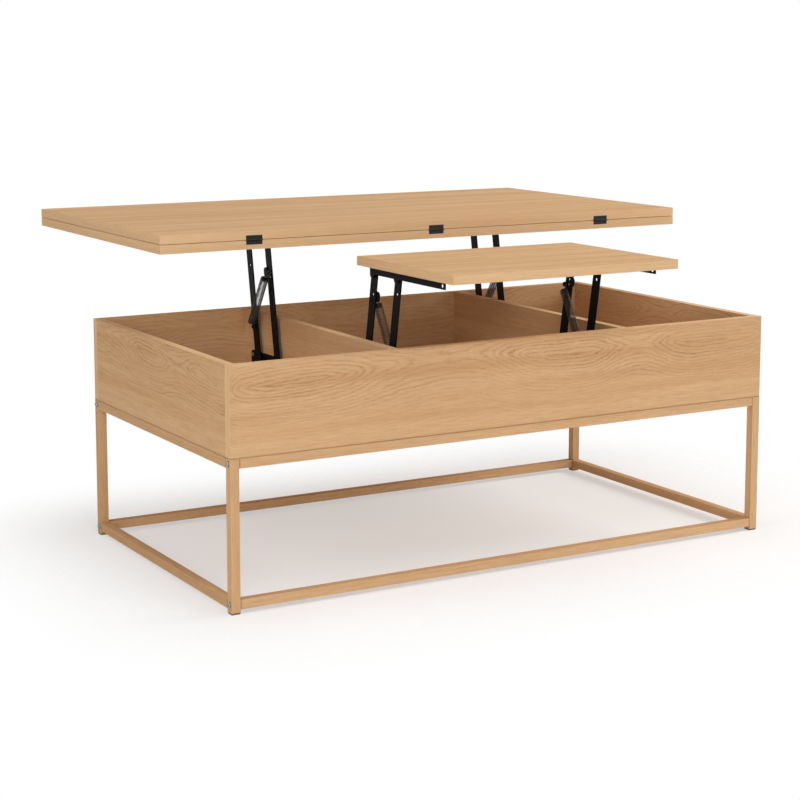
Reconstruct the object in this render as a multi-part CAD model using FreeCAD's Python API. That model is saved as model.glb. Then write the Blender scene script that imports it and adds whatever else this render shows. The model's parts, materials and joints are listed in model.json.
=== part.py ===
import FreeCAD, Part
import math
import os

# Convertible coffee and dining table, drawn with both tops raised, in millimetres.
# The origin is on the floor in the middle of the four feet; -Y is the front and +Z is up.

# Whole table
table_length = 1100.0
table_depth = 600.0
box_top = 412.0
box_height = 154.0
cut_overrun = 2.0

# Tube frame
tube_side = 16.0
tube_wall = 1.2
lower_rail_lift = 8.0
rail_end_plate = 3.0
glide_height = 3.0
glide_side = 15.0
glide_spigot = 7.0
glide_fit = 0.15

# Frame bolts
bolt_radius = 3.0
bolt_hole_clearance = 0.2
bolt_length = 24.0
bolt_head_radius = 5.0
bolt_head_height = 2.4
bolt_head_round = 0.8
bolt_socket_radius = 2.0
bolt_socket_depth = 1.2

# Storage box
panel_thick = 16.0
bottom_thick = 8.0

# Large top: two leaves folded one on the other
leaf_thick = 16.0
leaf_gap = 0.8
seat_gap = 0.5

# Small top
small_length = 452.0
small_end_gap = 4.0
small_depth = 322.0
small_thick = 16.0
small_headroom = 9.7
small_ahead_of_pivot = 45.57

# Leaf hinges
hinge_width = 31.5
hinge_spacing = 372.0
hinge_plate_height = 7.85
hinge_plate_thick = 2.0
hinge_edge_offset = 0.2
knuckle_radius = 1.7
knuckle_clearance = 0.3
knuckle_side_gap = 0.15
hinge_pin_radius = 0.9
knuckle_count = 3

# Lift arms, the same on all four mechanisms
arm_length = 249.0
arm_width = 21.0
arm_thick = 2.5
arm_spacing = 83.0
lead_pivot_inset = 78.0
small_pivot_lift = 13.13
raised_lean = 10.0
pivot_drop = 13.0
large_lead_hole_reach = 199.0
small_lead_hole_reach = 221.0
lead_hole_radius = 3.3
large_trail_hole_reach = 184.5
small_trail_hole_reach = 202.0
trail_hole_radius = 3.0
trail_hole_spacing = 9.9
trail_hole_aside = 0.5

# Tabs on the rising edges of the trail arms
large_tab_reach = 195.0
small_tab_reach = 210.0
tab_length = 18.0
tab_overhang = 7.5
tab_lap = 5.0
tab_chamfer = 4.0
tab_thick = 2.5

# Pivot rivets
rivet_radius = 3.0
rivet_shoulder_radius = 6.0
rivet_head_radius = 6.0
rivet_head_height = 1.9
rivet_head_round = 0.9
running_clearance = 0.05
side_play = 0.1
arm_stand_off = 6.0

# Base plates
plate_thick = 3.0
plate_margin_trail = 9.0
plate_margin_lead = 43.0
plate_below_pivot = 17.0
plate_above_pivot = 31.0
plate_corner_radius = 6.0
small_plate_offset = 14.7
stop_radius = 4.0
stop_reach = 21.0
stop_gap = 0.3

# Top bars, an angle section
bar_thick = 2.0
bar_wall_gap = 1.0
bar_height = 13.5
bar_lug_radius = 7.0
bar_flange = 19.0
bar_behind = 7.0
bar_ahead = 161.0
bar_hole_radius = 3.6
bar_hole_inset = 9.0

# Screws of the bars and base plates
screw_radius = 2.0
screw_clearance = 0.1
screw_head_radius = 3.8
screw_head_height = 1.4
screw_head_round = 0.5
bar_screw_length = 14.0
plate_screw_length = 13.0
foot_screw_length = 9.0
plate_screw_inset = 8.0
bar_screw_shares = (0.09, 0.56, 0.9)

# Spring, its studs and its anchors
spring_lower_reach = 81.0
large_spring_reach = 192.0
small_spring_reach = 201.0
spring_upper_set_back = 6.9
spring_stand_off = 18.5
spring_radius = 7.6
wire_diameter = 2.0
spring_turns = 24
turn_parts = 4
coil_start = 11.0
stud_radius = 2.2
stud_collar_radius = 3.2
stud_head_height = 1.2
eye_radius = 4.6
eye_thick = 3.2
eye_stand_off = 3.6
neck_radius = 1.3
neck_rise = 1.2
neck_bend_radius = 1.7
plug_gap = 0.3
plug_length = 6.0

# Sizes that follow
half_length = table_length / 2
half_depth = table_depth / 2
box_bottom = box_top - box_height
inner_half_length = half_length - panel_thick
inner_half_depth = half_depth - panel_thick
box_floor = box_bottom + bottom_thick
middle_width = small_length + 2 * small_end_gap
divider_inner = middle_width / 2
divider_outer = divider_inner + panel_thick
leg_x = half_length - tube_side / 2
leg_y = half_depth - tube_side / 2
upper_rail_middle = box_bottom - tube_side / 2
lower_rail_middle = lower_rail_lift + tube_side / 2

raised_angle = math.radians(raised_lean)
lead_pivot_reach = inner_half_depth - lead_pivot_inset
trail_pivot_reach = lead_pivot_reach - arm_spacing
small_pivot_z = box_floor + small_pivot_lift
large_pivot_z = small_pivot_z + small_thick + small_headroom
closed_angle = math.acos((box_top + seat_gap - pivot_drop - large_pivot_z) / arm_length)
lean_out = arm_length * math.sin(raised_angle)
lean_up = arm_length * math.cos(raised_angle)
lift_shift = lean_out + arm_length * math.sin(closed_angle)

large_underside = large_pivot_z + lean_up + pivot_drop
small_underside = small_pivot_z + lean_up + pivot_drop
lower_leaf_top = large_underside + leaf_thick
hinge_axis_z = lower_leaf_top + leaf_gap / 2
upper_leaf_underside = lower_leaf_top + leaf_gap
large_front_edge = lift_shift - half_depth
hinge_axis_y = large_front_edge - hinge_edge_offset
small_middle = -(lead_pivot_reach + lean_out + small_ahead_of_pivot)
knuckle_length = hinge_width / knuckle_count

sides = {"left": -1, "right": 1}
along_x = FreeCAD.Vector(1, 0, 0)
along_y = FreeCAD.Vector(0, 1, 0)
along_z = FreeCAD.Vector(0, 0, 1)
middle = FreeCAD.Vector(0, 0, 0)


def block(x_span, y_span, z_span):
    corner = FreeCAD.Vector(x_span[0], y_span[0], z_span[0])
    return Part.makeBox(x_span[1] - x_span[0], y_span[1] - y_span[0], z_span[1] - z_span[0], corner)


def rod(radius, start, direction, length):
    return Part.makeCylinder(radius, length, start, direction)


def fused(shapes):
    return shapes[0].multiFuse(shapes[1:]).removeSplitter()


def export(name, shapes):
    solids = shapes if isinstance(shapes, list) else [shapes]
    shape = solids[0] if len(solids) == 1 else Part.makeCompound(solids)
    shape.exportStep("parts/" + name + ".step")


def round_headed(start, direction, shank_radius, shank_length, head_radius, head_height, head_round):
    # A shank that runs along direction from start, under a head whose outer rim is rounded.
    head = rod(head_radius, start, direction * -1, head_height)
    rim = [edge for edge in head.Edges
           if abs((edge.CenterOfMass - start).dot(direction) + head_height) < head_round / 2]
    head = head.makeFillet(head_round, [e for e in rim if e.Length > head_radius])
    return fused([head, rod(shank_radius, start, direction, shank_length)])


# Tube frame
def upright_tube(x, y):
    half = tube_side / 2
    bore = half - tube_wall
    tube = block((x - half, x + half), (y - half, y + half), (glide_height, box_bottom))
    hollow = block((x - bore, x + bore), (y - bore, y + bore),
                   (glide_height - cut_overrun, box_bottom + cut_overrun))
    tube = tube.cut(hollow)
    for z in (upper_rail_middle, lower_rail_middle):
        start = FreeCAD.Vector(x - half - cut_overrun, y, z)
        tube = tube.cut(rod(bolt_radius + bolt_hole_clearance, start, along_x, tube_side + 2 * cut_overrun))
    return tube


def long_rail(y, z):
    # A rail along the length, with end plates that take the frame bolts.
    half = tube_side / 2
    bore = half - tube_wall
    end = half_length - tube_side
    inner = end - rail_end_plate
    rail = block((-end, end), (y - half, y + half), (z - half, z + half))
    rail = rail.cut(block((-inner, inner), (y - bore, y + bore), (z - bore, z + bore)))
    hole = rod(bolt_radius + running_clearance, FreeCAD.Vector(-end - cut_overrun, y, z), along_x,
               2 * (end + cut_overrun))
    return rail.cut(hole)


def cross_rail(x, z):
    # A rail from front to back, welded between two legs.
    half = tube_side / 2
    bore = half - tube_wall
    end = half_depth - tube_side
    rail = block((x - half, x + half), (-end, end), (z - half, z + half))
    bore_y = (-end - cut_overrun, end + cut_overrun)
    return rail.cut(block((x - bore, x + bore), bore_y, (z - bore, z + bore)))


def glide(x, y):
    pad = glide_side / 2
    plug = tube_side / 2 - tube_wall - glide_fit
    foot = block((x - pad, x + pad), (y - pad, y + pad), (0, glide_height))
    spigot = block((x - plug, x + plug), (y - plug, y + plug), (glide_height, glide_height + glide_spigot))
    return fused([foot, spigot])


def frame_bolt(side, y, z):
    start = FreeCAD.Vector(side * half_length, y, z)
    inward = along_x * -side
    bolt = round_headed(start, inward, bolt_radius, bolt_length, bolt_head_radius, bolt_head_height,
                        bolt_head_round)
    socket_start = start - inward * (bolt_head_height + cut_overrun)
    return bolt.cut(rod(bolt_socket_radius, socket_start, inward, bolt_socket_depth + cut_overrun))


def make_frame():
    glides = []
    bolts = []
    for side_name, side in sides.items():
        for end_name, end in (("front", -1), ("rear", 1)):
            export("leg_" + end_name + "_" + side_name, upright_tube(side * leg_x, end * leg_y))
            glides.append(glide(side * leg_x, end * leg_y))
            for z in (upper_rail_middle, lower_rail_middle):
                bolts.append(frame_bolt(side, end * leg_y, z))
        export("upper_rail_" + side_name, cross_rail(side * leg_x, upper_rail_middle))
        export("lower_rail_" + side_name, cross_rail(side * leg_x, lower_rail_middle))
    for end_name, end in (("front", -1), ("rear", 1)):
        export("upper_rail_" + end_name, long_rail(end * leg_y, upper_rail_middle))
        export("lower_rail_" + end_name, long_rail(end * leg_y, lower_rail_middle))
    export("foot_glides", glides)
    export("frame_bolts", bolts)


# Places of the lift mechanisms: u is the distance out of the divider's face, v runs the way the top rises
large_lift = {"name": "large", "rise": 1, "out": 1, "face": divider_outer, "offset": 0.0,
              "pivot_z": large_pivot_z, "underside": large_underside,
              "hole_reach": large_lead_hole_reach, "trail_hole_reach": large_trail_hole_reach,
              "tab_reach": large_tab_reach, "spring_reach": large_spring_reach}
small_lift = {"name": "small", "rise": -1, "out": -1, "face": divider_inner, "offset": small_plate_offset,
              "pivot_z": small_pivot_z, "underside": small_underside,
              "hole_reach": small_lead_hole_reach, "trail_hole_reach": small_trail_hole_reach,
              "tab_reach": small_tab_reach, "spring_reach": small_spring_reach}


def place(shape, lift, side):
    # From the mechanism's own u, v, z to the table's frame.
    if lift["out"] * side < 0:
        shape = shape.mirror(middle, along_x)
    if lift["rise"] < 0:
        shape = shape.mirror(middle, along_y)
    shape.translate(along_x * (side * lift["face"]))
    return shape


def on_arm(pivot_v, lift, reach, aside=0.0):
    # The v and z of a point on a raised arm: reach along it, aside towards the rise.
    v = pivot_v + reach * math.sin(raised_angle) + aside * math.cos(raised_angle)
    z = lift["pivot_z"] + reach * math.cos(raised_angle) - aside * math.sin(raised_angle)
    return v, z


def disc(radius, u_span, v, z):
    return rod(radius, FreeCAD.Vector(u_span[0], v, z), along_x, u_span[1] - u_span[0])


def arm_strip(pivot_v, lift, start, end, width, u_span):
    # A straight strip along a raised arm with half-round ends.
    half = width / 2
    outline = ((start, -half), (end, -half), (end, half), (start, half))
    corners = [on_arm(pivot_v, lift, reach, aside) for reach, aside in outline]
    points = [FreeCAD.Vector(u_span[0], v, z) for v, z in corners]
    face = Part.Face(Part.makePolygon(points + points[:1]))
    strip = face.extrude(along_x * (u_span[1] - u_span[0]))
    ends = [disc(half, u_span, *on_arm(pivot_v, lift, r)) for r in (start, end)]
    return fused([strip] + ends)


def arm_span(lift):
    start = lift["offset"] + arm_stand_off
    return start, start + arm_thick


def eye_span(lift):
    centre = arm_span(lift)[1] + eye_stand_off
    return centre - eye_thick / 2, centre + eye_thick / 2


def arm_blank(pivot_v, lift):
    span = arm_span(lift)
    arm = arm_strip(pivot_v, lift, 0.0, arm_length, arm_width, span)
    for reach in (0.0, arm_length):
        hole_span = (span[0] - cut_overrun, span[1] + cut_overrun)
        arm = arm.cut(disc(rivet_radius + running_clearance, hole_span, *on_arm(pivot_v, lift, reach)))
    return arm


def spring_stud(lift, v, z):
    # A collared stud that stands out of the arm's outer face and carries a spring eye.
    seat = arm_span(lift)[1]
    near, far = eye_span(lift)
    head_span = (far + side_play, far + side_play + stud_head_height)
    collar = disc(stud_collar_radius, (seat, near - side_play), v, z)
    pin = disc(stud_radius, (seat, head_span[1]), v, z)
    return [collar, pin, disc(stud_collar_radius, head_span, v, z)]


def lead_arm(lift):
    span = arm_span(lift)
    arm = arm_blank(lead_pivot_reach, lift)
    hole_span = (span[0] - cut_overrun, span[1] + cut_overrun)
    arm = arm.cut(disc(lead_hole_radius, hole_span, *on_arm(lead_pivot_reach, lift, lift["hole_reach"])))
    return fused([arm] + spring_stud(lift, *on_arm(lead_pivot_reach, lift, spring_lower_reach)))


def upper_stud_place(lift):
    return on_arm(trail_pivot_reach, lift, lift["spring_reach"], -spring_upper_set_back)


def trail_arm(lift):
    span = arm_span(lift)
    arm = arm_blank(trail_pivot_reach, lift)
    hole_span = (span[0] - cut_overrun, span[1] + cut_overrun)
    first = lift["trail_hole_reach"]
    for reach in (first, first + trail_hole_spacing):
        hole_place = on_arm(trail_pivot_reach, lift, reach, trail_hole_aside)
        arm = arm.cut(disc(trail_hole_radius, hole_span, *hole_place))
    return fused([arm] + spring_stud(lift, *upper_stud_place(lift)))


def arm_tab(lift):
    # A plate that laps onto the rising edge of the trail arm and stands out past it.
    low = lift["tab_reach"] - tab_length / 2
    high = lift["tab_reach"] + tab_length / 2
    near = arm_width / 2 - tab_lap
    far = arm_width / 2 + tab_overhang
    outline = ((low, near), (high, near), (high, far - tab_chamfer), (high - tab_chamfer, far),
               (low + tab_chamfer, far), (low, far - tab_chamfer))
    corners = [on_arm(trail_pivot_reach, lift, reach, aside) for reach, aside in outline]
    points = [FreeCAD.Vector(arm_span(lift)[1], v, z) for v, z in corners]
    return Part.Face(Part.makePolygon(points + points[:1])).extrude(along_x * tab_thick)


def rounded_plate(v_span, z_span, u_span, radius):
    plate = block(u_span, v_span, z_span)
    corners = [e for e in plate.Edges if e.BoundBox.XLength > plate_thick / 2]
    return plate.makeFillet(radius, corners)


def base_plate(lift):
    # The large lift's plate lies on the divider; the small lift's stands off it on a foot on the box floor.
    offset = lift["offset"]
    v_span = (trail_pivot_reach - plate_margin_trail, lead_pivot_reach + plate_margin_lead)
    footed = offset > 0
    z_low = box_floor if footed else lift["pivot_z"] - plate_below_pivot
    z_high = lift["pivot_z"] + plate_above_pivot
    u_span = (offset, offset + plate_thick)
    plate = rounded_plate(v_span, (z_low, z_high), u_span, plate_corner_radius)
    stop_aside = arm_width / 2 + stop_gap + stop_radius
    stop_place = on_arm(lead_pivot_reach, lift, stop_reach, stop_aside)
    stop = disc(stop_radius, (offset, arm_span(lift)[1]), *stop_place)
    pieces = [plate, stop]
    if footed:
        foot_span = (v_span[0] + plate_corner_radius, v_span[1] - plate_corner_radius)
        pieces.append(block((0.0, u_span[1]), foot_span, (z_low, z_low + plate_thick)))
    plate = fused(pieces)
    hole_span = (offset - cut_overrun, u_span[1] + cut_overrun)
    for reach in (trail_pivot_reach, lead_pivot_reach):
        plate = plate.cut(disc(rivet_radius + running_clearance, hole_span, reach, lift["pivot_z"]))
    for screw_start, direction in plate_screw_places(lift):
        depth = plate_thick + cut_overrun
        start = screw_start - direction * depth
        plate = plate.cut(rod(screw_radius + screw_clearance, start, direction, 2 * depth))
    return plate


def plate_screw_places(lift):
    # Where each screw's head seats on the base plate, and the way it drives.
    v_low = trail_pivot_reach - plate_margin_trail + plate_screw_inset
    v_high = lead_pivot_reach + plate_margin_lead - plate_screw_inset
    if lift["offset"] > 0:
        u = lift["offset"] / 2
        z = box_floor + plate_thick
        spots = [FreeCAD.Vector(u, v, z) for v in (v_low + plate_screw_inset, v_high - plate_screw_inset)]
        return [(spot, along_z * -1) for spot in spots]
    z = lift["pivot_z"] + plate_above_pivot - plate_screw_inset
    low_z = lift["pivot_z"] - plate_below_pivot + plate_screw_inset
    between = (lead_pivot_reach + trail_pivot_reach) / 2
    spots = [(v_low, z), (between, low_z), (v_high, z)]
    return [(FreeCAD.Vector(plate_thick, v, z), along_x * -1) for v, z in spots]


def plate_screws(lift):
    length = foot_screw_length if lift["offset"] > 0 else plate_screw_length
    return [round_headed(start, direction, screw_radius, length, screw_head_radius, screw_head_height,
                         screw_head_round) for start, direction in plate_screw_places(lift)]


def top_bar(lift):
    near = lift["offset"] + bar_wall_gap
    v_span = (trail_pivot_reach + lean_out - bar_behind, lead_pivot_reach + lean_out + bar_ahead)
    underside = lift["underside"]
    upright = block((near, near + bar_thick), v_span, (underside - bar_height, underside))
    flange = block((near, near + bar_flange), v_span, (underside - bar_thick, underside))
    pivots = [(reach + lean_out, underside - pivot_drop) for reach in (trail_pivot_reach, lead_pivot_reach)]
    lugs = [disc(bar_lug_radius, (near, near + bar_thick), *pivot) for pivot in pivots]
    bar = fused([upright, flange] + lugs)
    hole_span = (near - cut_overrun, near + bar_thick + cut_overrun)
    for pivot in pivots:
        bar = bar.cut(disc(rivet_radius + running_clearance, hole_span, *pivot))
    hole_z = underside - (bar_height + bar_thick) / 2
    bar = bar.cut(disc(bar_hole_radius, hole_span, v_span[1] - bar_hole_inset, hole_z))
    for start in bar_screw_places(lift):
        below = start - along_z * cut_overrun
        bar = bar.cut(rod(screw_radius + screw_clearance, below, along_z, bar_thick + 2 * cut_overrun))
    return bar


def bar_screw_places(lift):
    # Where each screw's head seats under the bar's flange.
    near = lift["offset"] + bar_wall_gap + bar_thick
    u = (near + lift["offset"] + bar_wall_gap + bar_flange) / 2 + screw_radius
    v_low = trail_pivot_reach + lean_out - bar_behind
    length = bar_behind + arm_spacing + bar_ahead
    z = lift["underside"] - bar_thick
    return [FreeCAD.Vector(u, v_low + share * length, z) for share in bar_screw_shares]


def bar_screws(lift):
    return [round_headed(start, along_z, screw_radius, bar_screw_length, screw_head_radius, screw_head_height,
                         screw_head_round) for start in bar_screw_places(lift)]


def pivot_rivet(lift, back_u, seat_u, v, z):
    # A shouldered rivet: back_u to seat_u is in the plate or bar, and the arm turns past the shoulder.
    arm_near, arm_far = arm_span(lift)
    shoulder = disc(rivet_shoulder_radius, (seat_u, arm_near - side_play), v, z)
    head_seat = FreeCAD.Vector(arm_far + side_play, v, z)
    pin_length = arm_far + side_play - back_u
    rivet = round_headed(head_seat, along_x * -1, rivet_radius, pin_length, rivet_head_radius,
                         rivet_head_height, rivet_head_round)
    return fused([rivet, shoulder])


def base_rivets(lift):
    back = lift["offset"]
    return [pivot_rivet(lift, back, back + plate_thick, v, lift["pivot_z"])
            for v in (trail_pivot_reach, lead_pivot_reach)]


def top_rivets(lift):
    back = lift["offset"] + bar_wall_gap
    z = lift["underside"] - pivot_drop
    return [pivot_rivet(lift, back, back + bar_thick, v + lean_out, z)
            for v in (trail_pivot_reach, lead_pivot_reach)]


# Springs
def spring_ends(lift):
    u = lift["offset"] + spring_stand_off
    lower = FreeCAD.Vector(u, *on_arm(lead_pivot_reach, lift, spring_lower_reach))
    upper = FreeCAD.Vector(u, *upper_stud_place(lift))
    return lower, upper


def helix_point(radius, pitch, turn):
    angle = 2 * math.pi * turn
    point = FreeCAD.Vector(radius * math.cos(angle), radius * math.sin(angle), pitch * turn)
    tangent = FreeCAD.Vector(-radius * math.sin(angle), radius * math.cos(angle), pitch / (2 * math.pi))
    return point, tangent.normalize()


def arc_from(start, corner, end):
    # The arc that leaves start towards corner and reaches end, tangent to both runs.
    chord_middle = (start + end) * 0.5
    half_chord = (end - start).Length / 2
    rise = corner - chord_middle
    quarter = math.atan2(rise.Length, half_chord) / 2
    top = chord_middle + rise.normalize() * (half_chord * math.tan(quarter))
    return Part.Arc(start, top, end).toShape()


def biarc(start, start_way, end, end_way):
    chord = end - start
    ways = start_way + end_way
    spread = 2 * (1 - start_way.dot(end_way))
    along = chord.dot(ways)
    run = (math.sqrt(along * along + spread * chord.dot(chord)) - along) / spread
    first = start + start_way * run
    last = end - end_way * run
    join = (first + last) * 0.5
    return [arc_from(start, first, join), arc_from(join, last, end)]


def coil_wire(radius, pitch):
    steps = [helix_point(radius, pitch, step / turn_parts) for step in range(spring_turns * turn_parts + 1)]
    first, first_way = steps[0]
    last, last_way = steps[-1]
    edges = [Part.LineSegment(first - first_way * wire_diameter, first).toShape()]
    for (start, start_way), (end, end_way) in zip(steps, steps[1:]):
        edges += biarc(start, start_way, end, end_way)
    edges.append(Part.LineSegment(last, last + last_way * wire_diameter).toShape())
    return Part.Wire(edges)


def least_self_gap(wire, pitch):
    # The least distance between neighbouring turns, on points, less the wire's own thickness.
    points = []
    for edge in wire.Edges:
        points += edge.discretize(5)[:-1]
    turn_length = math.hypot(2 * math.pi * (spring_radius - wire_diameter / 2), pitch)
    step = turn_length / (8 * turn_parts)
    skip = int(turn_length / 2 / step)
    nearest = min((a - b).Length for i, a in enumerate(points) for b in points[i + skip:i + 3 * skip])
    return nearest - wire_diameter


def spring_coil(lift):
    lower, upper = spring_ends(lift)
    way = upper - lower
    coil_length = way.Length - 2 * coil_start
    pitch = coil_length / spring_turns
    wire = coil_wire(spring_radius - wire_diameter / 2, pitch)
    edge = wire.Edges[0]
    start = edge.valueAt(edge.FirstParameter)
    profile = Part.Wire(Part.makeCircle(wire_diameter / 2, start, edge.tangentAt(edge.FirstParameter)))
    coil = wire.makePipeShell([profile], True, False)
    print("spring least gap to itself:", round(least_self_gap(wire, pitch), 3), "mm, volume",
          round(coil.Volume, 2), "against", round(wire.Length * math.pi * wire_diameter ** 2 / 4, 2))
    way.normalize()
    turn = FreeCAD.Rotation(along_z, way)
    coil.Placement = FreeCAD.Placement(lower + way * coil_start, turn)
    return coil


def spring_anchor(lift, end, way):
    # An eye on a stud, and a cranked neck to a plug that the coil's end turns grip.
    span = eye_span(lift)
    plug_radius = spring_radius - wire_diameter - plug_gap
    eye_centre = FreeCAD.Vector((span[0] + span[1]) / 2, end.y, end.z)
    elbow = eye_centre + way * (eye_radius + neck_rise)
    plug_start = end + way * coil_start
    crank = plug_start + way * neck_radius - elbow
    eye = disc(eye_radius, span, end.y, end.z)
    plug = rod(plug_radius, plug_start, way, plug_length)
    neck = rod(neck_radius, eye_centre, way, eye_radius + neck_rise)
    bend = Part.makeSphere(neck_bend_radius, elbow)
    pieces = [eye, neck, bend, rod(neck_radius, elbow, crank, crank.Length), plug]
    hole_span = (span[0] - cut_overrun, span[1] + cut_overrun)
    return fused(pieces).cut(disc(stud_radius + running_clearance, hole_span, end.y, end.z))


def make_lift(lift, floor_node_pieces):
    bar_screw_set = []
    top_rivet_set = []
    tab_set = []
    lower_anchors = []
    upper_anchors = []
    lower, upper = spring_ends(lift)
    way = (upper - lower).normalize()
    for side_name, side in sides.items():
        stem = lift["name"] + "_" + side_name + "_"
        export(stem + "base_plate", place(base_plate(lift), lift, side))
        export(stem + "lead_arm", place(lead_arm(lift), lift, side))
        export(stem + "trail_arm", place(trail_arm(lift), lift, side))
        export(stem + "top_bar", place(top_bar(lift), lift, side))
        export(stem + "spring", place(spring_coil(lift), lift, side))
        floor_node_pieces["rivets"] += [place(r, lift, side) for r in base_rivets(lift)]
        floor_node_pieces["screws"] += [place(s, lift, side) for s in plate_screws(lift)]
        bar_screw_set += [place(s, lift, side) for s in bar_screws(lift)]
        top_rivet_set += [place(r, lift, side) for r in top_rivets(lift)]
        tab_set.append(place(arm_tab(lift), lift, side))
        lower_anchors.append(place(spring_anchor(lift, lower, way), lift, side))
        upper_anchors.append(place(spring_anchor(lift, upper, way * -1), lift, side))
    export(lift["name"] + "_bar_screws", bar_screw_set)
    export(lift["name"] + "_top_rivets", top_rivet_set)
    export(lift["name"] + "_arm_tabs", tab_set)
    export(lift["name"] + "_spring_lower_anchors", lower_anchors)
    export(lift["name"] + "_spring_upper_anchors", upper_anchors)


def make_lifts():
    floor_node_pieces = {"rivets": [], "screws": []}
    for lift in (large_lift, small_lift):
        make_lift(lift, floor_node_pieces)
    export("base_rivets", floor_node_pieces["rivets"])
    export("base_plate_screws", floor_node_pieces["screws"])


# Storage box
def drilled(panel, lift, side, places, length):
    # Pilot holes for screws, from their seats in the mechanism's frame.
    for start, direction in places:
        hole = rod(screw_radius + screw_clearance, start, direction, length + screw_clearance)
        panel = panel.cut(place(hole, lift, side))
    return panel


def make_box():
    z_span = (box_bottom, box_top)
    for end_name, end in (("front", -1), ("rear", 1)):
        y_span = sorted((end * half_depth, end * inner_half_depth))
        export(end_name + "_panel", block((-half_length, half_length), y_span, z_span))
    bottom = block((-inner_half_length, inner_half_length), (-inner_half_depth, inner_half_depth),
                   (box_bottom, box_floor))
    for side_name, side in sides.items():
        x_span = sorted((side * half_length, side * inner_half_length))
        export(side_name + "_panel", block(x_span, (-inner_half_depth, inner_half_depth), z_span))
        x_span = sorted((side * divider_inner, side * divider_outer))
        divider = block(x_span, (-inner_half_depth, inner_half_depth), (box_floor, box_top))
        places = plate_screw_places(large_lift)
        export(side_name + "_divider", drilled(divider, large_lift, side, places, plate_screw_length))
        bottom = drilled(bottom, small_lift, side, plate_screw_places(small_lift), foot_screw_length)
    export("bottom_panel", bottom)


# Tops and leaf hinges
def hinge_places():
    return [-hinge_spacing, 0.0, hinge_spacing]


def hinge_mortise(x):
    half = hinge_width / 2
    y_span = (large_front_edge - cut_overrun, large_front_edge + hinge_plate_thick)
    reach = leaf_gap / 2 + hinge_plate_height
    slot = block((x - half, x + half), y_span, (hinge_axis_z - reach, hinge_axis_z + reach))
    return fused([slot, knuckle(x, 0, knuckle_count, knuckle_radius + knuckle_clearance)])


def knuckle(x, first, last, radius):
    start = FreeCAD.Vector(x - hinge_width / 2 + first * knuckle_length, hinge_axis_y, hinge_axis_z)
    return rod(radius, start, along_x, (last - first) * knuckle_length)


def hinge_plate(x, up):
    # The lower plate carries the outer knuckles, the upper plate the middle one.
    half = hinge_width / 2
    y_span = (large_front_edge, large_front_edge + hinge_plate_thick)
    near = leaf_gap / 2
    z_span = sorted((hinge_axis_z + up * near, hinge_axis_z + up * (near + hinge_plate_height)))
    plate = block((x - half, x + half), y_span, z_span)
    plate = plate.cut(knuckle(x, 0, knuckle_count, knuckle_radius + knuckle_clearance))
    own = [k for k in range(knuckle_count) if (k % 2 == 1) == (up > 0)]
    for k in own:
        inset = knuckle_side_gap / knuckle_length
        web = block((x - half + (k + inset) * knuckle_length, x - half + (k + 1 - inset) * knuckle_length),
                    (hinge_axis_y, large_front_edge + hinge_plate_thick),
                    sorted((hinge_axis_z, hinge_axis_z + up * (knuckle_radius + 2 * knuckle_clearance))))
        web = web.cut(block((x - half, x + half), (hinge_axis_y - knuckle_radius, large_front_edge),
                            (hinge_axis_z - hinge_plate_height, hinge_axis_z + hinge_plate_height)))
        plate = fused([plate, web, knuckle(x, k + inset, k + 1 - inset, knuckle_radius)])
    return plate.cut(knuckle(x, 0, knuckle_count, hinge_pin_radius + running_clearance))


def make_tops():
    half = half_length
    y_span = (large_front_edge, large_front_edge + table_depth)
    lower = block((-half, half), y_span, (large_underside, lower_leaf_top))
    upper = block((-half, half), y_span, (upper_leaf_underside, upper_leaf_underside + leaf_thick))
    small = block((-small_length / 2, small_length / 2),
                  (small_middle - small_depth / 2, small_middle + small_depth / 2),
                  (small_underside, small_underside + small_thick))
    for x in hinge_places():
        mortise = hinge_mortise(x)
        lower = lower.cut(mortise)
        upper = upper.cut(mortise)
    depth = bar_screw_length
    for side in sides.values():
        lower = drilled(lower, large_lift, side, [(p, along_z) for p in bar_screw_places(large_lift)], depth)
        small = drilled(small, small_lift, side, [(p, along_z) for p in bar_screw_places(small_lift)], depth)
    export("lower_leaf", lower)
    export("upper_leaf", upper)
    export("small_top", small)


def make_hinges():
    export("lower_hinge_plates", [hinge_plate(x, -1) for x in hinge_places()])
    export("upper_hinge_plates", [hinge_plate(x, 1) for x in hinge_places()])
    export("hinge_pins", [knuckle(x, 0, knuckle_count, hinge_pin_radius) for x in hinge_places()])


os.makedirs("parts", exist_ok=True)
make_frame()
make_box()
make_lifts()
make_tops()
make_hinges()
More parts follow.
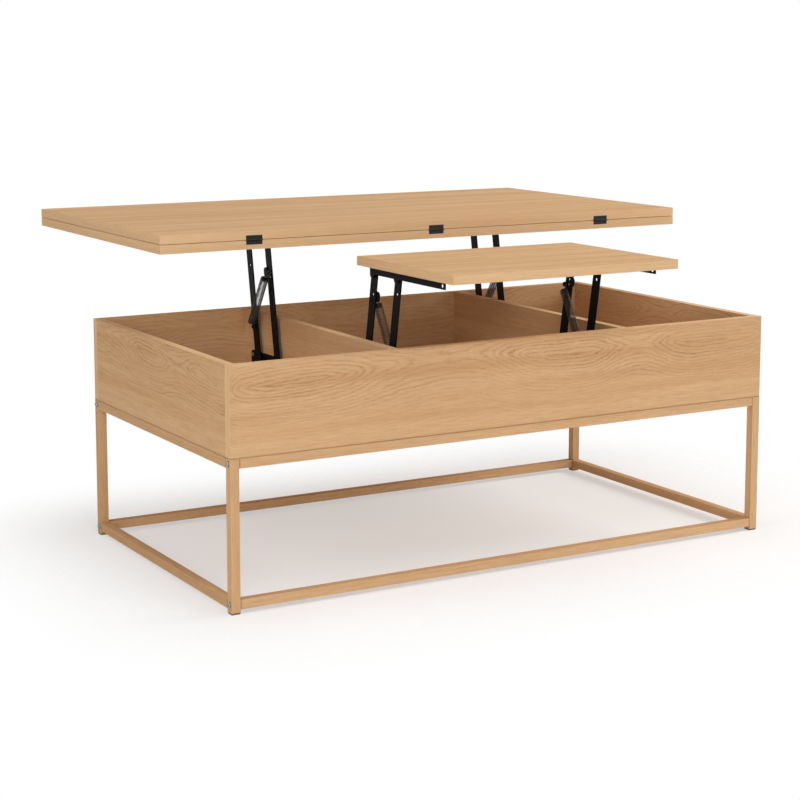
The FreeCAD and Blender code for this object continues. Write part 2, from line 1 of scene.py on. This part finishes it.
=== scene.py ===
import bpy
import json
import math
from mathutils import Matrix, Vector


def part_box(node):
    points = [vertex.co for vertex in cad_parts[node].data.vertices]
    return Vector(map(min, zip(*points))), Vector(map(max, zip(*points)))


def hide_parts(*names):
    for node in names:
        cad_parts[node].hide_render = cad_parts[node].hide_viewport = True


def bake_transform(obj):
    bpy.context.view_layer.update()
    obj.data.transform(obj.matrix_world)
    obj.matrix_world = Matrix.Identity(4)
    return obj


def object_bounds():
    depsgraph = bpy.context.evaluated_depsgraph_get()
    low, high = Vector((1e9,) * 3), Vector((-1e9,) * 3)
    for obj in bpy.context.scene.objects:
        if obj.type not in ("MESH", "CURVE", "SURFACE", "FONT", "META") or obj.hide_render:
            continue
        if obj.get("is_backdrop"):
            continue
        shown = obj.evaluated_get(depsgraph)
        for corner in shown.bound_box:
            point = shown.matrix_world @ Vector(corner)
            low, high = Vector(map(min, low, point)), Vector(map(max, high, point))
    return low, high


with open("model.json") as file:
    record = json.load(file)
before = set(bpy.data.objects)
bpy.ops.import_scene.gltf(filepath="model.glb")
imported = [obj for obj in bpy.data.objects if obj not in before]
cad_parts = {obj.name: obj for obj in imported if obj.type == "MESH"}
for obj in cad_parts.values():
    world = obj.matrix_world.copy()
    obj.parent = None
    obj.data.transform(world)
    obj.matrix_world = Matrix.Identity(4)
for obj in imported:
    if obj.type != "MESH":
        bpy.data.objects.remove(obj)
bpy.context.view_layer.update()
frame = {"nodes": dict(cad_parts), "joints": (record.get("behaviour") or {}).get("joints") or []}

nodes = frame["nodes"]
scene = bpy.context.scene


# a few helpers for wiring shader nodes

def linear(red, green, blue):
    channels = [c / 255 for c in (red, green, blue)]
    return [c / 12.92 if c <= 0.04045 else ((c + 0.055) / 1.055) ** 2.4 for c in channels] + [1.0]


def feed(tree, socket, value):
    if isinstance(value, bpy.types.NodeSocket):
        tree.links.new(value, socket)
    else:
        socket.default_value = value


def addNode(tree, kind, inputs=None, **settings):
    node = tree.nodes.new(kind)
    for name, value in settings.items():
        setattr(node, name, value)
    for name, value in (inputs or {}).items():
        feed(tree, node.inputs[name], value)
    return node


def calc(tree, operation, first, second=None, third=None):
    node = addNode(tree, "ShaderNodeMath", operation=operation)
    for place, value in enumerate((first, second, third)):
        if value is not None:
            feed(tree, node.inputs[place], value)
    return node.outputs[0]


def pick(tree, factor, first, second):  # first where the factor is 0, second where it is 1
    node = addNode(tree, "ShaderNodeMix", data_type="FLOAT")
    for place, value in ((0, factor), (2, first), (3, second)):
        feed(tree, node.inputs[place], value)
    return node.outputs[0]


def tint(tree, factor, first, second):
    node = addNode(tree, "ShaderNodeMix", data_type="RGBA")
    for place, value in ((0, factor), (6, first), (7, second)):
        feed(tree, node.inputs[place], value)
    return node.outputs[2]


def ease(tree, value, low, high):  # smooth step from 0 at low to 1 at high
    limits = {"From Min": low, "From Max": high}
    node = addNode(tree, "ShaderNodeMapRange", limits, interpolation_type="SMOOTHSTEP")
    feed(tree, node.inputs["Value"], value)
    return node.outputs["Result"]


def atLeast(tree, value, least):  # squeezes 0 to 1 into least to 1
    return calc(tree, "MULTIPLY_ADD", value, 1 - least, least)


def speckle(tree, vector, scale, detail):
    noise = addNode(tree, "ShaderNodeTexNoise", {"Vector": vector, "Scale": scale, "Detail": detail})
    return noise.outputs[0]


def stretched(tree, along, across, seed, alongRate, acrossRate, detail):  # noise drawn out with the grain
    vector = addNode(tree, "ShaderNodeCombineXYZ", {
        "X": calc(tree, "MULTIPLY", along, alongRate),
        "Y": calc(tree, "MULTIPLY", across, acrossRate),
        "Z": seed})
    return speckle(tree, vector.outputs[0], 1.0, detail)


def newMaterial(name):
    material = bpy.data.materials.new(name)
    material.use_nodes = True
    material.node_tree.nodes.clear()
    return material, material.node_tree


def finishShader(tree, colour, roughness, height, bump, **constants):
    shader = addNode(tree, "ShaderNodeBsdfPrincipled", {"Base Color": colour, "Roughness": roughness})
    for name, value in constants.items():
        shader.inputs[name.replace("_", " ")].default_value = value
    relief = addNode(tree, "ShaderNodeBump", {"Height": height, "Distance": bump["distance"]})
    relief.inputs["Strength"].default_value = bump["strength"]
    tree.links.new(relief.outputs[0], shader.inputs["Normal"])
    output = addNode(tree, "ShaderNodeOutputMaterial")
    tree.links.new(shader.outputs[0], output.inputs[0])


# oak veneer: growth rings cut by a flat board, with pores, fibres and soft streaks

oak = {
    "pale": linear(220, 181, 138),
    "mid": linear(207, 165, 121),
    "line": linear(148, 108, 69),
    "poreColour": linear(139, 97, 62),
    "edge": linear(240, 203, 158),  # the edge bands are a little paler
    "edgeShare": 0.33,
    # painted shade: the shadow line where a board meets a rail or a rail meets a leg
    "paintedSeamShade": linear(92, 62, 40),
    "paintedSeamShadeShare": 0.42,
    "paintedSeamShadeWidth": 0.0035,
    "paintedSeamShadeCore": 0.3,  # share of the width that is darkest
    # how the rings stray and how their lines zigzag: rates along and across, detail, metres
    "wander": ((2.6, 11.0, 2.0, 0.010), (9.0, 42.0, 2.0, 0.011)),
    "jag": ((40.0, 90.0, 3.0, 0.0046), (170.0, 300.0, 2.0, 0.0022)),
    "loopPower": 1.2,  # 2 makes round loops, 1 pointed ones
    "calm": 0.14,  # metres beside a loop within which the grain runs straight again
    "lineWidth": (0.0, 0.30),  # shares of the ring spacing over which a line fades
    "softFall": 1.6,
    "coreShare": 0.62,
    "figureReach": (0.030, 0.085),  # metres from the loops over which their lines grow faint
    "farShare": 0.22,
    "lineSink": -0.25,
    "ringTone": {"rate": 0.43, "detail": 1.0, "fade": (0.25, 0.75)},  # some rings are darker
    # marks: rates along and across with detail, and the noise levels over which they fade in
    "dash": {"rates": (60.0, 420.0, 2.0), "fade": (0.32, 0.62), "least": 0.35},
    "patch": {"rates": (3.0, 16.0, 1.0), "fade": (0.20, 0.75), "least": 0.2},
    "streak": {"rates": (1.1, 42.0, 3.0), "fade": (0.28, 0.72)},
    "fibre": {"rates": (26.0, 620.0, 2.0), "fade": (0.30, 0.75), "share": 0.22, "rise": 0.3},
    "pore": {"rates": (75.0, 1500.0, 1.0), "fade": (0.60, 0.72), "least": 0.4, "share": 0.30, "rise": -0.6},
    "roughness": (0.58, 0.72),
    "specular": 0.018,
    "bump": {"strength": 0.35, "distance": 0.0002},
}


def oakGroup():
    tree = bpy.data.node_groups.new("oakFigure", "ShaderNodeTree")
    for name in ("Along", "Across", "Level", "Depth", "Seed", "Spacing", "Lines"):
        tree.interface.new_socket(name, in_out="INPUT", socket_type="NodeSocketFloat")
    tree.interface.new_socket("Colour", in_out="OUTPUT", socket_type="NodeSocketColor")
    tree.interface.new_socket("Roughness", in_out="OUTPUT", socket_type="NodeSocketFloat")
    tree.interface.new_socket("Height", in_out="OUTPUT", socket_type="NodeSocketFloat")
    given = addNode(tree, "NodeGroupInput").outputs
    along, across, seed = given["Along"], given["Across"], given["Seed"]

    def marks(kind):
        return ease(tree, stretched(tree, along, across, seed, *oak[kind]["rates"]), *oak[kind]["fade"])

    offset = calc(tree, "ABSOLUTE", calc(tree, "SUBTRACT", across, given["Level"]))
    fading = calc(tree, "EXPONENT", calc(tree, "DIVIDE", offset, -oak["calm"]))
    depth = calc(tree, "MULTIPLY", given["Depth"], fading)
    reach = calc(tree, "ADD", calc(tree, "POWER", offset, oak["loopPower"]),
                 calc(tree, "POWER", depth, oak["loopPower"]))
    reach = calc(tree, "POWER", reach, 1 / oak["loopPower"])
    nearLoop = calc(tree, "SUBTRACT", 1.0, ease(tree, offset, *oak["figureReach"]))
    nearLoop = pick(tree, nearLoop, oak["farShare"], 1.0)
    for group, share in (("wander", 1.0), ("jag", nearLoop)):
        for alongRate, acrossRate, detail, size in oak[group]:
            noise = stretched(tree, along, across, seed, alongRate, acrossRate, detail)
            stray = calc(tree, "SUBTRACT", noise, 0.5)
            reach = calc(tree, "MULTIPLY_ADD", calc(tree, "MULTIPLY", stray, size), share, reach)
    ring = calc(tree, "DIVIDE", reach, given["Spacing"])
    part = calc(tree, "FRACT", ring)
    beside = calc(tree, "ABSOLUTE", calc(tree, "SUBTRACT", part, 0.5))
    core = calc(tree, "SUBTRACT", 1.0, ease(tree, beside, *oak["lineWidth"]))
    soft = calc(tree, "POWER", calc(tree, "FRACT", calc(tree, "SUBTRACT", 0.5, ring)), oak["softFall"])
    line = pick(tree, oak["coreShare"], soft, core)
    line = calc(tree, "MULTIPLY", line, atLeast(tree, marks("dash"), oak["dash"]["least"]))
    ringTone = oak["ringTone"]
    tone = addNode(tree, "ShaderNodeTexNoise", {"Scale": 1.0, "Detail": ringTone["detail"]},
                   noise_dimensions="1D")
    feed(tree, tone.inputs["W"], calc(tree, "MULTIPLY_ADD", ring, ringTone["rate"], seed))
    strength = calc(tree, "MULTIPLY", ease(tree, tone.outputs[0], *ringTone["fade"]), marks("patch"))
    strength = calc(tree, "MULTIPLY", atLeast(tree, strength, oak["patch"]["least"]), given["Lines"])
    strength = calc(tree, "MULTIPLY", strength, nearLoop)
    streak, fibre = marks("streak"), marks("fibre")
    pores = calc(tree, "MULTIPLY", marks("pore"), atLeast(tree, line, oak["pore"]["least"]))
    colour = tint(tree, streak, oak["pale"], oak["mid"])
    colour = tint(tree, calc(tree, "MULTIPLY", line, strength), colour, oak["line"])
    colour = tint(tree, calc(tree, "MULTIPLY", pores, oak["pore"]["share"]), colour, oak["poreColour"])
    colour = tint(tree, calc(tree, "MULTIPLY", fibre, oak["fibre"]["share"]), colour, oak["line"])
    low, high = oak["roughness"]
    rough = calc(tree, "MULTIPLY_ADD", calc(tree, "MAXIMUM", pores, streak), high - low, low)
    height = calc(tree, "MULTIPLY", fibre, oak["fibre"]["rise"])
    height = calc(tree, "MULTIPLY_ADD", pores, oak["pore"]["rise"], height)
    height = calc(tree, "MULTIPLY_ADD", line, oak["lineSink"], height)
    result = addNode(tree, "NodeGroupOutput")
    for name, value in (("Colour", colour), ("Roughness", rough), ("Height", height)):
        feed(tree, result.inputs[name], value)
    return tree


oakFigure = oakGroup()


def handCurve(tree, share, points):  # a curve through the listed points over a share from 0 to 1
    node = addNode(tree, "ShaderNodeFloatCurve", {"Value": share})
    curve = node.mapping.curves[0]
    while len(curve.points) < len(points):
        curve.points.new(0.5, 0.5)
    for point, place in zip(curve.points, points):
        point.location = place
    node.mapping.update()
    return node.outputs[0]


veneer = {
    "facing": 0.7,  # how squarely a face has to lie to count as an edge
    "edgeSeed": 3.7,
    "sheetSeed": 7.3,
    "farLevel": -0.9,  # a level far off the board gives straight grain
    "levelSpan": 1.5,  # board widths that a figure's level can range over
}


def oakBoard(name, along, across, seed, spacing, lines, edgeShare=0.0, figure=None, box=None, paintedShadeLines=()):
    material, tree = newMaterial(name)
    place = addNode(tree, "ShaderNodeTexCoord")
    spot = addNode(tree, "ShaderNodeSeparateXYZ", {"Vector": place.outputs["Object"]}).outputs
    facing = addNode(tree, "ShaderNodeSeparateXYZ", {"Vector": place.outputs["Normal"]}).outputs
    thick = ({"X", "Y", "Z"} - {along, across}).pop()
    atEnd = calc(tree, "GREATER_THAN", calc(tree, "ABSOLUTE", facing[along]), veneer["facing"])
    atSide = calc(tree, "GREATER_THAN", calc(tree, "ABSOLUTE", facing[across]), veneer["facing"])
    onEdge = calc(tree, "MAXIMUM", atEnd, atSide)
    runs = pick(tree, atEnd, spot[along], spot[across])  # the edge band's grain follows each edge
    lies = pick(tree, onEdge, spot[across], spot[thick])
    sheet = calc(tree, "GREATER_THAN", facing[thick], 0.0)  # the two faces are two sheets of veneer
    sown = calc(tree, "MULTIPLY_ADD", sheet, veneer["sheetSeed"], seed)
    sown = calc(tree, "MULTIPLY_ADD", onEdge, veneer["edgeSeed"], sown)
    level, depth = veneer["farLevel"], 0.0
    if figure:
        (start, foot), (end, top) = [
            [corner["XYZ".index(axis)] for axis in (along, across)] for corner in box]
        share = calc(tree, "DIVIDE", calc(tree, "SUBTRACT", spot[along], start), end - start)
        onFigure = calc(tree, "SUBTRACT", 1.0, onEdge)
        drawn = handCurve(tree, share, figure["depthShares"])
        depth = calc(tree, "MULTIPLY", calc(tree, "MULTIPLY", drawn, figure["deepest"]), onFigure)
        rise = handCurve(tree, share, figure["levelShares"])
        level = calc(tree, "MULTIPLY_ADD", rise, (top - foot) * veneer["levelSpan"], foot)
        level = pick(tree, onFigure, veneer["farLevel"], level)
    group = addNode(tree, "ShaderNodeGroup", node_tree=oakFigure)
    for key, value in (("Along", runs), ("Across", lies), ("Level", level), ("Depth", depth),
                       ("Seed", sown), ("Spacing", spacing), ("Lines", lines)):
        feed(tree, group.inputs[key], value)
    banded = calc(tree, "MULTIPLY", onEdge, edgeShare)
    colour = tint(tree, banded, group.outputs["Colour"], oak["edge"])
    width = oak["paintedSeamShadeWidth"]
    for axis, edge in paintedShadeLines:  # painted shade: darker along the line where the piece meets another
        gap = calc(tree, "ABSOLUTE", calc(tree, "SUBTRACT", spot[axis], edge))
        shade = calc(tree, "SUBTRACT", 1.0, ease(tree, gap, width * oak["paintedSeamShadeCore"], width))
        colour = tint(tree, calc(tree, "MULTIPLY", shade, oak["paintedSeamShadeShare"]), colour, oak["paintedSeamShade"])
    finishShader(tree, colour, group.outputs["Roughness"], group.outputs["Height"], oak["bump"],
                 Specular_IOR_Level=oak["specular"])
    return material


# metal and plastic finishes

hingeSteel = {
    "colour": linear(24, 24, 24),
    "worn": linear(40, 40, 39),
    "grainRate": 2600.0,
    "roughness": (0.42, 0.58),
    "metallic": 0.0,
    "specular": 0.25,
    "bump": {"strength": 0.25, "distance": 0.00012},
}
blackSteel = {
    "colour": linear(9, 9, 9),
    "worn": linear(19, 18, 18),
    "grainRate": 2600.0,  # powder coat, about 0.4 mm
    "roughness": (0.42, 0.58),
    "metallic": 0.0,
    "specular": 0.06,
    "bump": {"strength": 0.25, "distance": 0.00012},
}
springSteel = {
    "colour": linear(64, 60, 56),
    "worn": linear(98, 92, 86),
    "grainRate": 900.0,
    "roughness": (0.28, 0.42),
    "metallic": 0.9,
    "specular": 0.5,
    "bump": {"strength": 0.10, "distance": 0.00005},
}
zinc = {
    "colour": linear(146, 148, 144),
    "worn": linear(178, 180, 175),
    "grainRate": 700.0,
    "roughness": (0.26, 0.40),
    "metallic": 1.0,
    "specular": 0.5,
    "bump": {"strength": 0.12, "distance": 0.00005},
}
glidePlastic = {
    "colour": linear(112, 92, 74),
    "worn": linear(132, 111, 91),
    "grainRate": 1500.0,
    "roughness": (0.48, 0.62),
    "metallic": 0.0,
    "specular": 0.3,
    "bump": {"strength": 0.20, "distance": 0.0001},
}


coat = {  # what all these finishes share: fine grain over broad clouds
    "grainDetail": 2.0,
    "cloudRate": 28.0,
    "cloudDetail": 3.0,
    "grainShare": 0.35,
    "wornFade": (0.35, 0.75),
}


def coated(name, look):
    material, tree = newMaterial(name)
    place = addNode(tree, "ShaderNodeTexCoord").outputs["Object"]
    grain = speckle(tree, place, look["grainRate"], coat["grainDetail"])
    cloud = speckle(tree, place, coat["cloudRate"], coat["cloudDetail"])
    patchy = calc(tree, "MULTIPLY", cloud, 1 - coat["grainShare"])
    patchy = calc(tree, "MULTIPLY_ADD", grain, coat["grainShare"], patchy)
    colour = tint(tree, ease(tree, patchy, *coat["wornFade"]), look["colour"], look["worn"])
    low, high = look["roughness"]
    rough = calc(tree, "MULTIPLY_ADD", patchy, high - low, low)
    finishShader(tree, colour, rough, grain, look["bump"],
                 Metallic=look["metallic"], Specular_IOR_Level=look["specular"])
    return material


finishes = {
    "black_steel": coated("blackSteel", blackSteel),
    "hinge_steel": coated("hingeSteel", hingeSteel),
    "spring_steel": coated("springSteel", springSteel),
    "zinc_fasteners": coated("zinc", zinc),
    "glide_plastic": coated("glidePlastic", glidePlastic),
}
print("finishes made:", len(finishes), "of metal and plastic")


# what each node is made of

boards = {  # grain axis, axis across it, ring spacing, strength of the lines
    "front_panel": ("X", "Z", 0.0060, 1.05),
    "rear_panel": ("X", "Z", 0.0070, 0.95),
    "left_panel": ("Y", "Z", 0.0062, 1.05),
    "right_panel": ("Y", "Z", 0.0060, 0.80),
    "left_divider": ("Y", "Z", 0.0065, 1.2),
    "right_divider": ("Y", "Z", 0.0065, 1.2),
    "bottom_panel": ("X", "Y", 0.0060, 1.2),
    "lower_leaf": ("X", "Y", 0.0055, 1.3),
    "upper_leaf": ("X", "Y", 0.0055, 1.3),
    "small_top": ("X", "Y", 0.0055, 1.3),
}
# where the rings close into loops: each curve runs over shares of the board's length,
# the depth in shares of the deepest and the level in shares of the veneer's level span
figures = {
    "front_panel": {
        "deepest": 0.060,
        "depthShares": ((0, 0.52), (0.10, 0.03), (0.26, 0.50), (0.38, 0.72), (0.49, 0.36), (0.59, 0.03),
                        (0.70, 0.40), (0.74, 0.50), (0.78, 0.36), (0.875, 0.03), (1, 0.34)),
        "levelShares": ((0, 0.49), (0.12, 0.51), (0.30, 0.56), (0.42, 0.58), (0.58, 0.51), (0.74, 0.54),
                        (0.88, 0.51), (1, 0.53)),
    },
    "rear_panel": {
        "deepest": 0.060,
        "depthShares": ((0, 0.30), (0.08, 0.06), (0.20, 0.40), (0.31, 0.08), (0.45, 0.55), (0.62, 0.10),
                        (0.80, 0.50), (0.92, 0.06), (1, 0.30)),
        "levelShares": ((0, 0.52), (0.3, 0.56), (0.6, 0.50), (1, 0.56)),
    },
    "left_panel": {
        "deepest": 0.060,
        "depthShares": ((0, 0.50), (0.17, 0.10), (0.34, 0.34), (0.53, 0.04), (0.75, 0.45), (1, 0.70)),
        "levelShares": ((0, 0.46), (0.2, 0.54), (0.53, 0.53), (0.8, 0.60), (1, 0.62)),
    },
    "right_panel": {
        "deepest": 0.060,
        "depthShares": ((0, 0.30), (0.25, 0.05), (0.5, 0.45), (0.72, 0.08), (1, 0.50)),
        "levelShares": ((0, 0.48), (0.4, 0.55), (1, 0.50)),
    },
}
tubes = {"leg": "Z", "left": "Y", "right": "Y", "front": "X", "rear": "X"}  # grain runs along each tube
tubeLook = {"spacing": 0.0040, "lines": 1.3}
boardSeedStep = 1.73
tubeSeeds = {"first": 40, "step": 2.1}
softened = {
    "board": 0.0008,  # edge rounding, in metres
    "leaf": 0.0003,
    "tube": 0.0020,
    "steel": 0.0003,
    "segments": 3,
    "weld": 0.00001,
    "flatAngle": 0.5,  # degrees, below which neighbouring facets count as one face
    "sharpAngle": 40,  # degrees, above which an edge is rounded
}


def paint(name, material):
    for slot in nodes[name].material_slots:
        slot.material = material


def softenEdges(name, width):
    piece = nodes[name]
    weld = piece.modifiers.new("weld", "WELD")
    weld.merge_threshold = softened["weld"]
    flat = piece.modifiers.new("flat", "DECIMATE")
    flat.decimate_type = "DISSOLVE"
    flat.angle_limit = math.radians(softened["flatAngle"])
    bevel = piece.modifiers.new("bevel", "BEVEL")
    bevel.width = width
    bevel.segments = softened["segments"]
    bevel.limit_method = "ANGLE"
    bevel.angle_limit = math.radians(softened["sharpAngle"])
    bevel.use_clamp_overlap = True
    smooth = piece.modifiers.new("smooth", "WEIGHTED_NORMAL")
    smooth.keep_sharp = False


for seed, (name, (along, across, spacing, lines)) in enumerate(boards.items()):
    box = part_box(name)
    # painted shade along the bottom edge of each upright board, where it meets the piece below
    paintedShadeLines = [("Z", box[0].z)] if across == "Z" else []
    paint(name, oakBoard("oak_" + name, along, across, seed * boardSeedStep, spacing, lines,
                         oak["edgeShare"], figures.get(name), box, paintedShadeLines))
    softenEdges(name, softened["leaf" if name.endswith("leaf") else "board"])

tubeNames = [n for n in nodes if n.startswith(("leg_", "upper_rail_", "lower_rail_"))]
for seed, name in enumerate(sorted(tubeNames)):
    along = tubes["leg"] if name.startswith("leg_") else tubes[name.split("_")[-1]]
    across = "X" if along == "Z" else "Z"
    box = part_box(name)
    # painted shade at both ends of each rail, where it meets a leg
    paintedShadeLines = [] if along == "Z" else [(along, end["XYZ".index(along)]) for end in box]
    sown = tubeSeeds["first"] + seed * tubeSeeds["step"]
    paint(name, oakBoard("oak_" + name, along, across, sown, paintedShadeLines=paintedShadeLines, **tubeLook))
    softenEdges(name, softened["tube"])
print("wood finished:", len(boards), "boards and", len(tubeNames), "tubes")

slotOf = {
    "upper_hinge_plates": "hinge_steel",
    "lower_hinge_plates": "hinge_steel",
    "frame_bolts": "zinc_fasteners",
    "base_plate_screws": "zinc_fasteners",
    "large_bar_screws": "zinc_fasteners",
    "small_bar_screws": "zinc_fasteners",
    "foot_glides": "glide_plastic",
}
for name in nodes:
    if name in boards or name in tubeNames or name.endswith("_spring"):
        continue
    slot = slotOf.get(name, "spring_steel" if "anchors" in name else "black_steel")
    paint(name, finishes[slot])
    if name.endswith(("_arm", "_bar", "_base_plate", "hinge_plates")):
        softenEdges(name, softened["steel"])
print("hardware finished")


# springs: one wound wire each, drawn out between its two anchors

coilLook = {"turns": 38, "wire": 0.0014, "stepsPerTurn": 24, "wireSides": 10}  # wire thickness in metres


def woundWire(name, low, axis, length, radius):
    side = Vector((1, 0, 0))
    other = axis.cross(side).normalized()
    total = coilLook["turns"] * coilLook["stepsPerTurn"]
    wound = 2 * math.pi * radius * coilLook["turns"]  # length of the turns laid out flat
    sides = coilLook["wireSides"]
    points, faces = [], []
    for step in range(total + 1):
        turn = 2 * math.pi * step / coilLook["stepsPerTurn"]
        out = side * math.cos(turn) + other * math.sin(turn)
        around = (other * math.cos(turn) - side * math.sin(turn)) * wound
        ahead = (around + axis * length).normalized()
        up = ahead.cross(out)
        centre = low + axis * (length * step / total) + out * radius
        for corner in range(sides):
            angle = 2 * math.pi * corner / sides
            points.append(centre + (out * math.cos(angle) + up * math.sin(angle)) * (coilLook["wire"] / 2))
    for step in range(total):
        for corner in range(sides):
            after = (corner + 1) % sides
            near, far = step * sides, (step + 1) * sides
            faces.append((near + corner, near + after, far + after, far + corner))
    faces.append(tuple(range(sides)))
    faces.append(tuple(total * sides + corner for corner in reversed(range(sides))))
    mesh = bpy.data.meshes.new(name)
    mesh.from_pydata(points, [], faces)
    mesh.shade_smooth()
    mesh.materials.append(finishes["spring_steel"])
    piece = bpy.data.objects.new(name, mesh)
    scene.collection.objects.link(piece)
    return piece


jointOf = {joint["name"]: joint for joint in frame["joints"]}
for size in ("large", "small"):
    axis = Vector(jointOf[size + "_spring_stretch"]["axis"]).normalized()
    pivot = Vector(jointOf[size + "_spring_swing"]["pos_m"])
    for hand in ("left", "right"):
        node = "{}_{}_spring".format(size, hand)
        low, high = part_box(node)
        centre = Vector(((low.x + high.x) / 2, pivot.y, pivot.z))
        heights = [(v.co - centre).dot(axis) for v in nodes[node].data.vertices]
        inset = coilLook["wire"] / 2
        first, last = min(heights) + inset, max(heights) - inset
        radius = (high.x - low.x) / 2 - inset
        foot, tip = centre + axis * first, centre + axis * last
        coil = woundWire("{}_{}_coil".format(size, hand), foot, axis, last - first, radius)
        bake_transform(coil)
        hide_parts(node)
print("springs wound")


# studio: pale floor, soft light, camera

studio = {
    "world": 0.20,
    "floorColour": linear(250, 249, 248),
    "floorHeart": ((0.06, 0.0), (0.50, 0.26)),  # centre and half sizes of the floor under the table
    "floorFade": (0.0, 0.46),  # metres from there over which it turns into the white background
    "floorLift": 0.45,  # share of the floor that is seen as plain white, shadows and all
    "floorReach": 2.6,
    "lampSize": 2.4,
    "lamps": {  # place, watts
        "leftLamp": ((-3.8, -0.8, 2.2), 49.0),
        "rightLamp": ((3.8, -0.8, 2.2), 128.0),
        "frontLamp": ((-1.8, -3.8, 1.5), 62.0),
        "highLamp": ((0.3, -2.4, 3.6), 21.0),
        "topLamp": ((0.0, 0.4, 4.2), 32.0),
    },
    "aim": (0.0, 0.0, 0.35),
}
lens = {
    "place": (-1.7976, -3.0133, 0.9242),
    "yaw": 29.938,
    "pitch": 7.907,
    "focal": 85.154,
    "sensor": 36,
    "shiftY": -0.12,
}


def aimed(place, target):
    return (Vector(target) - Vector(place)).to_track_quat("-Z", "Y").to_euler()


def seenRay(tree):  # 1 for what the camera sees, straight or by reflection
    path = addNode(tree, "ShaderNodeLightPath").outputs
    mirrored = calc(tree, "MAXIMUM", path["Is Glossy Ray"], path["Is Transmission Ray"])
    return calc(tree, "MAXIMUM", path["Is Camera Ray"], mirrored)


world = bpy.data.worlds.new("studioWorld")
scene.world = world
world.use_nodes = True
sky = world.node_tree
sky.nodes.clear()
lighting = addNode(sky, "ShaderNodeBackground", {"Color": (1, 1, 1, 1), "Strength": studio["world"]})
backdrop = addNode(sky, "ShaderNodeBackground", {"Color": (1, 1, 1, 1), "Strength": 1.0})
skyMix = addNode(sky, "ShaderNodeMixShader")
feed(sky, skyMix.inputs[0], seenRay(sky))
sky.links.new(lighting.outputs[0], skyMix.inputs[1])
sky.links.new(backdrop.outputs[0], skyMix.inputs[2])
sky.links.new(skyMix.outputs[0], addNode(sky, "ShaderNodeOutputWorld").inputs[0])

for name, (place, watts) in studio["lamps"].items():
    lamp = bpy.data.lights.new(name, "AREA")
    lamp.shape = "DISK"
    lamp.size = studio["lampSize"]
    lamp.energy = watts
    holder = bpy.data.objects.new(name, lamp)
    holder.location = place
    holder.rotation_euler = aimed(place, studio["aim"])
    scene.collection.objects.link(holder)

floorMesh = bpy.data.meshes.new("studioFloor")
reach = studio["floorReach"]
floorCorners = [(-reach, -reach, 0), (reach, -reach, 0), (reach, reach, 0), (-reach, reach, 0)]
floorMesh.from_pydata(floorCorners, [], [(0, 1, 2, 3)])
floor = bpy.data.objects.new("studioFloor", floorMesh)
scene.collection.objects.link(floor)
floorMaterial, ground = newMaterial("paleFloor")
matte = addNode(ground, "ShaderNodeBsdfDiffuse", {"Color": studio["floorColour"]})
white = addNode(ground, "ShaderNodeEmission", {"Color": studio["floorColour"], "Strength": 1.0})
lifted = addNode(ground, "ShaderNodeMixShader")
feed(ground, lifted.inputs[0], calc(ground, "MULTIPLY", seenRay(ground), studio["floorLift"]))
ground.links.new(matte.outputs[0], lifted.inputs[1])
ground.links.new(white.outputs[0], lifted.inputs[2])
clear = addNode(ground, "ShaderNodeBsdfTransparent")
floorPlace = addNode(ground, "ShaderNodeTexCoord").outputs["Object"]
floorSpot = addNode(ground, "ShaderNodeSeparateXYZ", {"Vector": floorPlace}).outputs
squares = []
for axis, middle, half in zip("XY", *studio["floorHeart"]):
    aside = calc(ground, "ABSOLUTE", calc(ground, "SUBTRACT", floorSpot[axis], middle))
    outside = calc(ground, "SUBTRACT", aside, half)
    squares.append(calc(ground, "POWER", calc(ground, "MAXIMUM", outside, 0.0), 2.0))
away = calc(ground, "SQRT", calc(ground, "ADD", *squares))
floorMix = addNode(ground, "ShaderNodeMixShader")
fade = ease(ground, away, *studio["floorFade"])
feed(ground, floorMix.inputs[0], calc(ground, "MULTIPLY", fade, seenRay(ground)))
ground.links.new(lifted.outputs[0], floorMix.inputs[1])
ground.links.new(clear.outputs[0], floorMix.inputs[2])
ground.links.new(floorMix.outputs[0], addNode(ground, "ShaderNodeOutputMaterial").inputs[0])
floorMesh.materials.append(floorMaterial)
floor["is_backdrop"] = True

cameraData = bpy.data.cameras.new("photoCamera")
cameraData.lens = lens["focal"]
cameraData.sensor_width = lens["sensor"]
cameraData.shift_y = lens["shiftY"]
camera = bpy.data.objects.new("photoCamera", cameraData)
camera.location = lens["place"]
camera.rotation_euler = (math.radians(90 - lens["pitch"]), 0, math.radians(-lens["yaw"]))
scene.collection.objects.link(camera)
scene.camera = camera
scene.view_settings.view_transform = "Standard"
print("studio set")

low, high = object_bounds()
print("visual box", [round(v, 4) for v in (*low, *high)])
